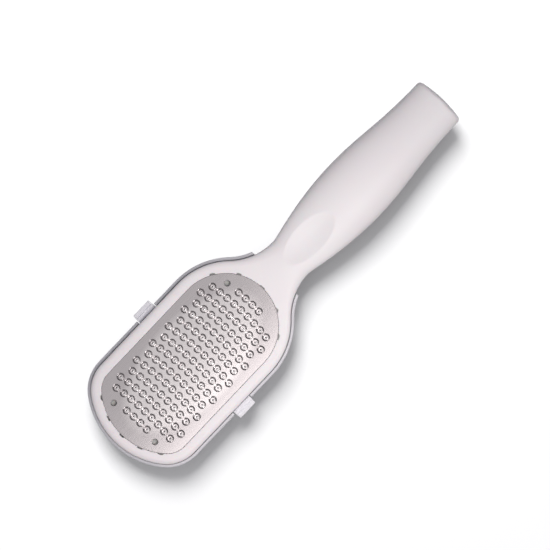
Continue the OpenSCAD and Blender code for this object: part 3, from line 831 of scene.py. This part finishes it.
def bent_tab(mesh, place):
    """Adds one tab to the mesh: it bends down out of the plate's edge and ends in a foot."""
    paddle, p = sizes("paddle"), sizes("plate")
    face = FRONT_LOW.z + paddle.depth - p.sink
    foot = FRONT_LOW.z + paddle.depth - paddle.deck
    t = p.thickness
    outer = 1.1 * t
    profile = [(-u, face - outer + v) for u, v in reversed(quarter_round(outer, 6))]
    profile += [(0, foot), (p.tab_foot, foot), (p.tab_foot, foot - t)]
    profile += [(-t, foot - t), (-t, face - t), (-outer, face - t)]
    half = p.tab_width / 2
    loops = [[tuple(place @ Vector((x, side, z))) for x, z in profile] for side in (-half, half)]
    loft("tab", loops, mesh)


# Materials


def add_node(tree, kind, values=None, links=None, **settings):
    """Adds a node, sets its properties and socket values, and links its sockets."""
    node = tree.nodes.new(kind)
    for name, value in settings.items():
        setattr(node, name, value)
    for socket, value in (values or {}).items():
        node.inputs[socket].default_value = value
    for socket, source in (links or {}).items():
        tree.links.new(source, node.inputs[socket])
    return node


def opaque(rgb):
    """The colour with full cover, as a colour socket holds it."""
    return (*rgb, 1.0)


def finish_of(make):
    """The material that the function make builds. It is built once, under that function's name."""
    material = bpy.data.materials.get(make.__name__)
    if material is None:
        material = bpy.data.materials.new(make.__name__)
        material.use_nodes = True
        material.node_tree.nodes.clear()
        make(material.node_tree)
    return material


def skin(tree, tint, patches, roughness, relief, bump, values):
    """Ends a material: gloss that varies with its patches, and bumps from its relief.

    roughness is its least and greatest value, and bump is the strength and depth of the bumps.
    """
    spread = {"From Min": 0.3, "From Max": 0.7, "To Min": roughness[0], "To Max": roughness[1]}
    gloss = add_node(tree, "ShaderNodeMapRange", spread, {"Value": patches})
    bumps = {"Strength": bump[0], "Distance": bump[1]}
    normal = add_node(tree, "ShaderNodeBump", bumps, {"Height": relief})
    links = {"Base Color": tint, "Roughness": gloss.outputs["Result"], "Normal": normal.outputs["Normal"]}
    surface = add_node(tree, "ShaderNodeBsdfPrincipled", values, links)
    add_node(tree, "ShaderNodeOutputMaterial", links={"Surface": surface.outputs["BSDF"]})


def moulded_plastic(tree, patch_width, colours, marks, roughness, grain, values):
    """Faint cloudy patches of two colours, marks of painted shade in other colours, and the fine grain of
    the mould.

    Each mark is (mesh attribute, value above which it shows, colour). grain is (noise detail, strength).
    """
    place = add_node(tree, "ShaderNodeTexCoord").outputs["Object"]
    cloud = {"Scale": 1 / patch_width, "Detail": 2.0}
    patches = add_node(tree, "ShaderNodeTexNoise", cloud, {"Vector": place}).outputs["Fac"]
    cloudy = {"A": opaque(colours[0]), "B": opaque(colours[1])}
    tint = add_node(tree, "ShaderNodeMix", cloudy, {"Factor": patches}, data_type="RGBA")
    for attribute, start, marked in marks:
        mark = add_node(tree, "ShaderNodeAttribute", attribute_name=attribute).outputs["Fac"]
        shown = add_node(tree, "ShaderNodeMath", {1: start}, {0: mark}, operation="SUBTRACT")
        links = {"A": tint.outputs["Result"], "Factor": shown.outputs[0]}
        tint = add_node(tree, "ShaderNodeMix", {"B": opaque(marked)}, links, data_type="RGBA")
    fine = {"Scale": 1 / sizes("finish").spark_grain, "Detail": grain[0]}
    relief = add_node(tree, "ShaderNodeTexNoise", fine, {"Vector": place}).outputs["Fac"]
    skin(tree, tint.outputs["Result"], patches, roughness, relief, (grain[1], 0.02 * MM), values)


def spark_eroded_abs(tree):
    """ABS moulded in a spark-eroded tool: a satin skin with a very fine even grain."""
    f = sizes("finish")
    # Painted shade: the wells under the tooling holes are painted grey, and the narrow slots for the tabs
    # much darker
    moulded_plastic(
        tree,
        patch_width=45 * MM,
        colours=(f.abs_shade, f.abs_colour),
        marks=(("hollow", 0.0, f.well_painted_shade), ("hollow", 1.0, f.slot_painted_shade)),
        roughness=(0.42, 0.5),
        grain=(3.0, 0.12),
        values={"IOR": 1.54, "Subsurface Weight": 0.08, "Subsurface Scale": 0.8 * MM},
    )


def moulded_polypropylene(tree):
    """Natural polypropylene, moulded thin: a waxy satin skin that lets some light through."""
    f = sizes("finish")
    through = {"Subsurface Weight": 0.6, "Subsurface Radius": (1.0, 1.0, 1.0), "Subsurface Scale": 2.5 * MM}
    # Painted shade: the whole tray is painted greyer than the latches, standing in for light lost through
    # its thin walls
    moulded_plastic(
        tree,
        patch_width=14 * MM,
        colours=(f.tray_shade, f.tray_colour),
        marks=(("painted_tray_shade", 0.0, f.tray_painted_grey),),
        roughness=(0.34, 0.42),
        grain=(2.0, 0.08),
        values={"IOR": 1.49, **through},
    )


def brushed_stainless(tree):
    """Stainless sheet with a light brushing along the file, and painted shade and highlights on the punched
    teeth.
    """
    f, p = sizes("finish"), sizes("plate")
    place = add_node(tree, "ShaderNodeTexCoord").outputs["Object"]
    # Real brush lines are about 0.05 mm wide: these are drawn wider so that they show
    scale = (1 / f.brush_length, 1 / f.brush_width, 1 / f.brush_width)
    stretched = add_node(tree, "ShaderNodeMapping", {"Scale": scale}, {"Vector": place}).outputs["Vector"]
    brushing = {"Scale": 1.0, "Detail": 4.0}
    lines = add_node(tree, "ShaderNodeTexNoise", brushing, {"Vector": stretched}).outputs["Fac"]
    # The sheet between the teeth is painted lighter inside an oval
    middle = Vector(((p.toe_x + plate_end()) / 2, 0, 0))
    reach = Vector((1 / f.field_reach, 1 / f.field_side, 0))
    oval = {"Location": -middle * reach, "Scale": reach}
    around = {"Vector": add_node(tree, "ShaderNodeMapping", oval, {"Vector": place}).outputs["Vector"]}
    inside = add_node(tree, "ShaderNodeTexGradient", links=around, gradient_type="SPHERICAL")
    border = {"From Min": 0.05, "From Max": 0.2, "To Max": f.field_brightening}
    field = add_node(tree, "ShaderNodeMapRange", border, {"Value": inside.outputs["Fac"]}).outputs["Result"]
    # The attribute notch holds painted shade, and below 0 painted highlight
    notch = add_node(tree, "ShaderNodeAttribute", attribute_name="notch").outputs["Fac"]
    lighten = add_node(tree, "ShaderNodeMath", links={0: field, 1: notch}, operation="SUBTRACT").outputs[0]
    steels = {"A": opaque(f.steel_colour), "B": opaque(f.steel_painted_highlight)}
    plain = add_node(tree, "ShaderNodeMix", steels, {"Factor": lighten}, data_type="RGBA")
    notched = {"A": plain.outputs["Result"], "Factor": notch}
    tint = add_node(tree, "ShaderNodeMix", {"B": opaque(f.steel_painted_shade)}, notched, data_type="RGBA")
    skin(tree, tint.outputs["Result"], lines, (0.26, 0.29), lines, (0.035, 0.01 * MM), {"Metallic": 1.0})


def seen_directly(tree):
    """1 for rays that look at the backdrop from the camera, a mirror or glass, and 0 for light."""
    path = add_node(tree, "ShaderNodeLightPath").outputs
    seen = path["Is Camera Ray"]
    for ray in ("Is Glossy Ray", "Is Transmission Ray"):
        either = add_node(tree, "ShaderNodeMath", links={0: seen, 1: path[ray]}, operation="MAXIMUM")
        seen = either.outputs[0]
    return seen


def matt_paper(tree):
    """White background paper: plain and matt, it looks white and still takes the shadow."""
    f = sizes("finish")
    seen = seen_directly(tree)
    colours = {"A": opaque(f.bounce_colour), "B": opaque(f.floor_colour)}
    tint = add_node(tree, "ShaderNodeMix", colours, {"Factor": seen}, data_type="RGBA")
    paper = add_node(tree, "ShaderNodeBsdfDiffuse", links={"Color": tint.outputs["Result"]})
    lift = add_node(tree, "ShaderNodeMath", {1: f.floor_lift}, {0: seen}, operation="MULTIPLY")
    glow = add_node(tree, "ShaderNodeEmission", links={"Strength": lift.outputs[0]})
    shaders = {0: paper.outputs["BSDF"], 1: glow.outputs["Emission"]}
    both = add_node(tree, "ShaderNodeAddShader", links=shaders)
    add_node(tree, "ShaderNodeOutputMaterial", links={"Surface": both.outputs["Shader"]})


def white_surroundings(tree):
    """A room that looks white, and lights the file more from overhead than from the sides."""
    s = sizes("studio")
    seen = seen_directly(tree)
    place = add_node(tree, "ShaderNodeTexCoord").outputs["Generated"]
    height = add_node(tree, "ShaderNodeSeparateXYZ", links={"Vector": place}).outputs["Z"]
    # Height is the sine of the angle above the horizon
    rise = {"From Min": 0.1, "From Max": 0.6, "To Min": s.horizon, "To Max": s.surroundings}
    light = add_node(tree, "ShaderNodeMapRange", rise, {"Value": height}).outputs["Result"]
    strength = add_node(tree, "ShaderNodeMapRange", {"To Max": 1.0}, {"Value": seen, "To Min": light})
    colours = {"A": opaque(s.surroundings_colour), "B": opaque(WHITE)}
    tint = add_node(tree, "ShaderNodeMix", colours, {"Factor": seen}, data_type="RGBA")
    links = {"Color": tint.outputs["Result"], "Strength": strength.outputs["Result"]}
    sky = add_node(tree, "ShaderNodeBackground", links=links)
    add_node(tree, "ShaderNodeOutputWorld", links={"Surface": sky.outputs["Background"]})


# Operators


class FOOTFILE_OT_front_shell(Operator):
    """Makes the moulded front: paddle, neck and upper half of the handle"""

    bl_idname = "footfile.front_shell"
    bl_label = "Front shell"

    def execute(self, context):
        h = sizes("handle")
        parting = FRONT_LOW.z + h.parting_rise
        stations = paddle_side() + handle_side()
        # Two sections stand at one place, where the lower edge steps up from the skirt to the parting line
        gap = 0.2 * MM
        before = [s for s in stations if s[0] < h.rear_start - gap]
        after = [s for s in stations if s[0] > h.rear_start + gap]
        a, b = before[-1], after[0]
        along = (h.rear_start - a[0]) / (b[0] - a[0])
        step = tuple(mix(a[k], b[k], along) for k in range(4))
        loops = [section(s, 1, FRONT_LOW.z) for s in before + [step]]
        loops += [section(s, 1, parting) for s in [step] + after]
        piece = loft("front_shell_moulding", loops)
        carve(piece, *front_shell_cutters())
        paint_shade_in_hollows(piece)
        dress(piece, "front_shell", "file", spark_eroded_abs)
        return {"FINISHED"}


class FOOTFILE_OT_rear_shell(Operator):
    """Makes the lower half of the handle"""

    bl_idname = "footfile.rear_shell"
    bl_label = "Rear shell"

    def execute(self, context):
        play = 0.05 * MM
        start = sizes("handle").rear_start + play
        stations = [s for s in paddle_side() + handle_side() if s[0] > start + play]
        first = (start, *stations[0][1:])
        piece = loft("rear_shell_moulding", [section(s, -1) for s in [first] + stations])
        dress(piece, "rear_shell", "file", spark_eroded_abs)
        return {"FINISHED"}


class FOOTFILE_OT_file_plate(Operator):
    """Makes the stainless plate with its toothed rings and bent tabs"""

    bl_idname = "footfile.file_plate"
    bl_label = "Toothed plate"

    def execute(self, context):
        p, r = sizes("plate"), sizes("ring")
        face = PLATE_HIGH.z - r.height
        back = face - p.thickness
        soft = 0.06 * MM
        piece = stack("toothed_plate", plate_side, [(0, back), (0, face - soft), (-soft, face)])
        ring_hole, tool_hole = (r.inner + r.crest) / 2, p.tool_hole + p.hole_roll / 2
        toothed, pierced = toothed_sections(), [pierced_section()] * 48
        holes, rings = bmesh.new(), bmesh.new()
        # The attribute notch carries painted shade and painted highlight
        rings.verts.layers.float.new("notch")
        for x, y in ring_places():
            prism("hole", circle(x, y, ring_hole), back - OVER, face + OVER, holes)
            add_ring(rings, x, y, toothed)
        for x, y in tool_hole_places():
            prism("hole", circle(x, y, tool_hole, len(pierced)), back - OVER, face + OVER, holes)
            add_ring(rings, x, y, pierced)
        for place in tab_frames():
            bent_tab(rings, place)
        carve(piece, mesh_piece("holes", holes))
        extra = mesh_piece("rings", rings)
        mesh = bmesh.new()
        mesh.verts.layers.float.new("notch")
        mesh.from_mesh(piece.data)
        mesh.from_mesh(extra.data)
        mesh.to_mesh(piece.data)
        mesh.free()
        bpy.data.objects.remove(extra)
        dress(piece, "file_plate", "file", brushed_stainless)
        return {"FINISHED"}


class FOOTFILE_OT_dust_tray(Operator):
    """Makes the dust tray with its rim and the slots for the latches"""

    bl_idname = "footfile.dust_tray"
    bl_label = "Dust tray"

    def execute(self, context):
        t, c, paddle = sizes("tray"), sizes("latch"), sizes("paddle")
        outer, top = t.play + t.rim, t.ledge_height + t.lap
        levels = [(t.play - t.edge_radius + v, u) for u, v in quarter_round(t.edge_radius, 8)]
        levels += [(t.play, t.ledge_height - t.flare), (outer, t.ledge_height)]
        levels += [(outer - u, top - t.bead + v) for u, v in quarter_round(t.bead, 8)]
        piece = stack("dust_tray_moulding", paddle_side, levels)
        wide, far = 2 * paddle.half_width, 4 * paddle.half_width
        room = prism("room", closed(paddle_side(t.play - t.wall)), t.floor, top + OVER)
        carve(room, block("heel", (t.reach - t.wall, -wide, -OVER), (far, wide, top + 2 * OVER)))
        levels = [(t.play + u, top - t.lip_radius + v) for u, v in quarter_round(t.lip_radius, 4)]
        levels = [(t.play, t.ledge_height), *levels, (t.play + t.lip_radius, top + OVER)]
        seat = stack("seat", paddle_side, levels)
        carve(piece, block("end", (t.reach, -wide, -OVER), (far, wide, top + OVER)), room, seat)
        hinge_y = paddle.half_width + t.play - t.wall / 2
        reach = hinge_y - t.wall - OVER, hinge_y + t.wall + 2 * OVER
        heights = c.hinge_height - t.wall / 2 - c.play, top + OVER
        carve(piece, *both_sides(c.width / 2 + c.slot, reach, heights))
        # Painted shade: every point of the tray takes the greyer colour
        thin = piece.data.attributes.new("painted_tray_shade", "FLOAT", "POINT")
        for point in thin.data:
            point.value = 1.0
        dress(piece, "dust_tray", "tray", moulded_polypropylene)
        return {"FINISHED"}


class FOOTFILE_OT_latches(Operator):
    """Makes the two latches"""

    bl_idname = "footfile.latches"
    bl_label = "Latches"

    def execute(self, context):
        c, t, paddle = sizes("latch"), sizes("tray"), sizes("paddle")
        outer = paddle.half_width + t.play + t.rim
        for side, name in ((1, "latch_left"), (-1, "latch_right")):
            loops = []
            for end in (-1, 1):
                loop = []
                for y, z in latch_profile():
                    taper = max(0, y - outer) / c.reach
                    loop.append((end * mix(c.width, c.tip_width, taper) / 2, side * y, z))
                loops.append(loop)
            piece = loft(name + "_moulding", loops)
            rounding = piece.modifiers.new("rounded edges", "BEVEL")
            rounding.width = c.edge_radius
            rounding.segments = 3
            rounding.limit_method = "ANGLE"
            apply_modifiers(piece)
            dress(piece, name, name, moulded_polypropylene)
        return {"FINISHED"}


class FOOTFILE_OT_studio(Operator):
    """Makes the camera, the paper floor, the lamps and the white surroundings"""

    bl_idname = "footfile.studio"
    bl_label = "Studio"

    def execute(self, context):
        scene, s = context.scene, sizes("studio")
        camera = bpy.data.objects.new("camera", bpy.data.cameras.new("camera"))
        scene.collection.objects.link(camera)
        camera.location = (s.camera_x, s.camera_y, s.camera_height)
        camera.rotation_euler = (0, 0, s.camera_turn)
        camera.data.angle = 2 * math.atan2(s.picture_width / 2, s.camera_height - s.picture_plane)
        scene.camera = camera

        paper = bmesh.new()
        corners = [(-1, -1), (1, -1), (1, 1), (-1, 1)]
        paper.faces.new([paper.verts.new((x * s.floor_half, y * s.floor_half, 0)) for x, y in corners])
        floor = mesh_piece("floor", paper)
        floor.data.materials.append(finish_of(matt_paper))

        # Each lamp lights only its own pieces, and points at the middle of the picture
        plate = bpy.data.objects["toothed_plate"]
        wide, small, strip = (s.shadow_size,) * 2, (s.glint_size,) * 2, (s.strip_long, s.strip_wide)
        for name, place, size, watts, tint, lit in (
            ("shadow_lamp", s.shadow_place, wide, s.shadow_lamp, WHITE, [floor]),
            ("glint_lamp", s.glint_place, small, s.glint_lamp, WHITE, [plate]),
            ("strip_softbox", s.strip_place, strip, s.strip_lamp, s.lamp_colour, PIECES),
        ):
            lamp = bpy.data.objects.new(name, bpy.data.lights.new(name, "AREA"))
            scene.collection.objects.link(lamp)
            lamp.location = Vector((s.camera_x, s.camera_y, 0)) + Vector(place)
            lean = math.atan2(place[0], math.hypot(place[1], place[2]))
            lamp.rotation_euler = (math.atan2(-place[1], place[2]), lean, 0)
            lamp.data.shape = "RECTANGLE"
            lamp.data.size, lamp.data.size_y = size
            lamp.data.energy = watts
            lamp.data.color = tint
            lamp.visible_camera = False
            lamp.light_linking.receiver_collection = bpy.data.collections.new("lit by " + name)
            for piece in lit:
                lamp.light_linking.receiver_collection.objects.link(piece)

        scene.world = bpy.data.worlds.new("white surroundings")
        scene.world.use_nodes = True
        scene.world.node_tree.nodes.clear()
        white_surroundings(scene.world.node_tree)
        scene.view_settings.view_transform = "Standard"
        return {"FINISHED"}


OPERATORS = (
    FOOTFILE_OT_front_shell,
    FOOTFILE_OT_rear_shell,
    FOOTFILE_OT_file_plate,
    FOOTFILE_OT_dust_tray,
    FOOTFILE_OT_latches,
    FOOTFILE_OT_studio,
)


class FOOTFILE_PT_sidebar(Panel):
    """Lists the sizes and the pieces"""

    bl_idname = "FOOTFILE_PT_sidebar"
    bl_label = "Foot File"
    bl_space_type = "VIEW_3D"
    bl_region_type = "UI"
    bl_category = "Foot File"

    def draw(self, context):
        for group, kind in GROUPS.items():
            box = self.layout.box()
            box.label(text=group.capitalize())
            for name in kind.__annotations__:
                box.prop(sizes(group), name)
        for operator in OPERATORS:
            self.layout.operator(operator.bl_idname)


def register():
    for kind in (*GROUPS.values(), *OPERATORS, FOOTFILE_PT_sidebar):
        bpy.utils.register_class(kind)
    for group, kind in GROUPS.items():
        setattr(bpy.types.Scene, PREFIX + group, PointerProperty(type=kind))


def unregister():
    for group in GROUPS:
        delattr(bpy.types.Scene, PREFIX + group)
    for kind in (FOOTFILE_PT_sidebar, *reversed(OPERATORS), *GROUPS.values()):
        bpy.utils.unregister_class(kind)


def main():
    register()
    bpy.ops.footfile.front_shell()
    bpy.ops.footfile.rear_shell()
    bpy.ops.footfile.file_plate()
    bpy.ops.footfile.dust_tray()
    bpy.ops.footfile.latches()
    bpy.ops.footfile.studio()


if __name__ == "__main__":
    main()
